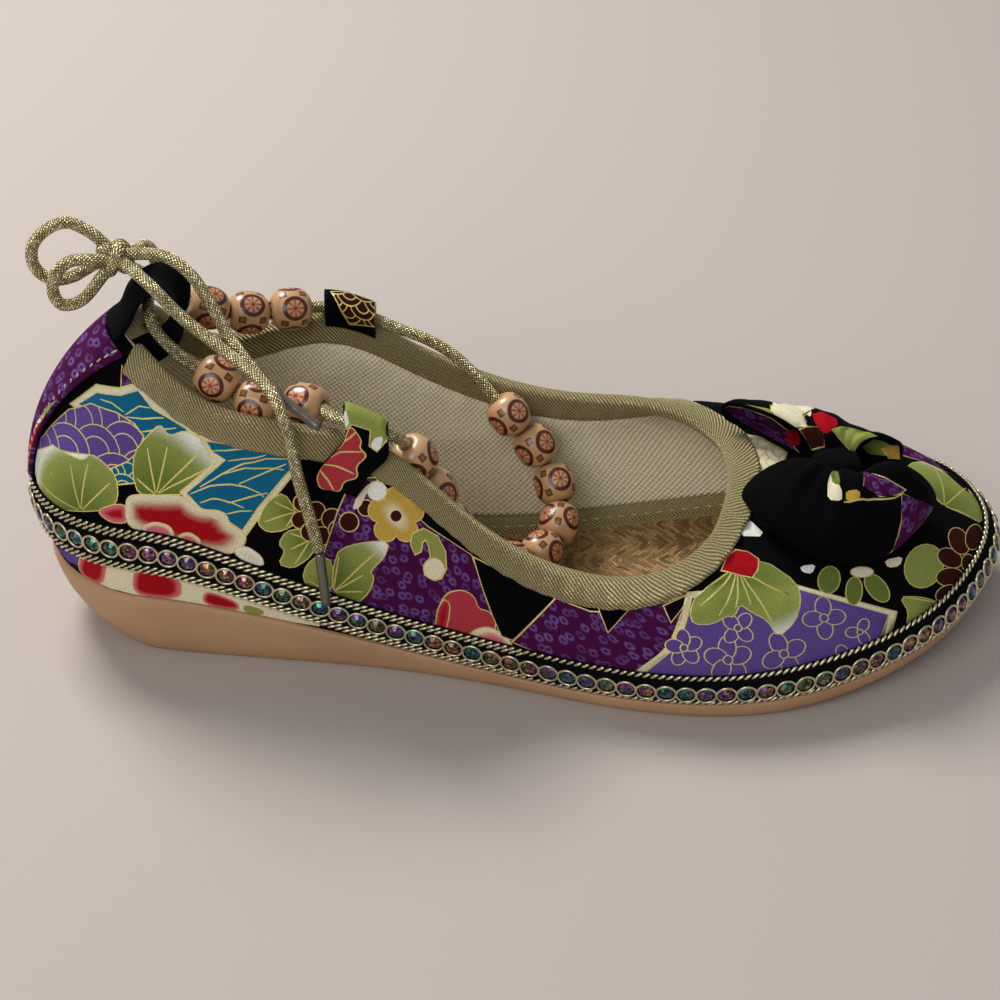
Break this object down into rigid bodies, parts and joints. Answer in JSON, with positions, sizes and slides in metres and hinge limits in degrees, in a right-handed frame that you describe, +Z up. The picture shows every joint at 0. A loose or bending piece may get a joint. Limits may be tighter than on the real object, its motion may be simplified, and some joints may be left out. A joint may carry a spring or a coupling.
{
  "type": "ankle tie flat",
  "caption": "Low printed-cotton flat for a right foot, with a beaded cord through side loops tied in a bow behind the heel, braid trim, a cloth bow and a thin rubber wedge sole.",
  "frame": {"origin": "middle of the shoe's length, on the floor that the sole stands on", "axes": "+X from heel to toe, +Z up, -Y towards the lateral side"},
  "size_m": [0.2504, 0.0912, 0.1114],
  "materials": {
    "outsole": "matte",
    "insole": "straw weave",
    "upper": "printed cotton",
    "collar_binding": "metallic twill",
    "braid_trim": "sequin braid",
    "heel_strip": "printed cotton",
    "heel_tab": "plain cotton",
    "side_loop_lateral": "printed cotton",
    "side_loop_medial": "printed cotton",
    "bow": "printed cotton",
    "bead": "satin, printed",
    "cord": "metallic braid",
    "aglet_metal": "satin",
    "aglet_clear": "gloss"
  },
  "bodies": {
    "root": {"outsole": "outsole", "insole": "insole", "upper": "upper", "collar_binding": "collar_binding", "braid_trim": "braid_trim", "heel_strip": "heel_strip", "heel_tab": "heel_tab", "side_loop_lateral": "side_loop_lateral", "side_loop_medial": "side_loop_medial", "bow_wing_lateral": "bow", "bow_wing_medial": "bow", "bow_knot": "bow", "bead_01": "bead", "bead_02": "bead", "bead_03": "bead", "bead_04": "bead", "bead_05": "bead", "bead_06": "bead", "bead_07": "bead", "bead_08": "bead", "bead_09": "bead", "bead_10": "bead", "bead_11": "bead", "bead_12": "bead", "bead_13": "bead", "bead_14": "bead", "bead_15": "bead", "bead_16": "bead", "tie_strand": "cord", "cord_knot": "cord", "cord_loop_upper": "cord", "cord_loop_lower": "cord", "cord_tail_long": "cord", "cord_tail_short": "cord", "aglet_long": "aglet_metal", "aglet_short": "aglet_clear"}
  },
  "joints": []
}
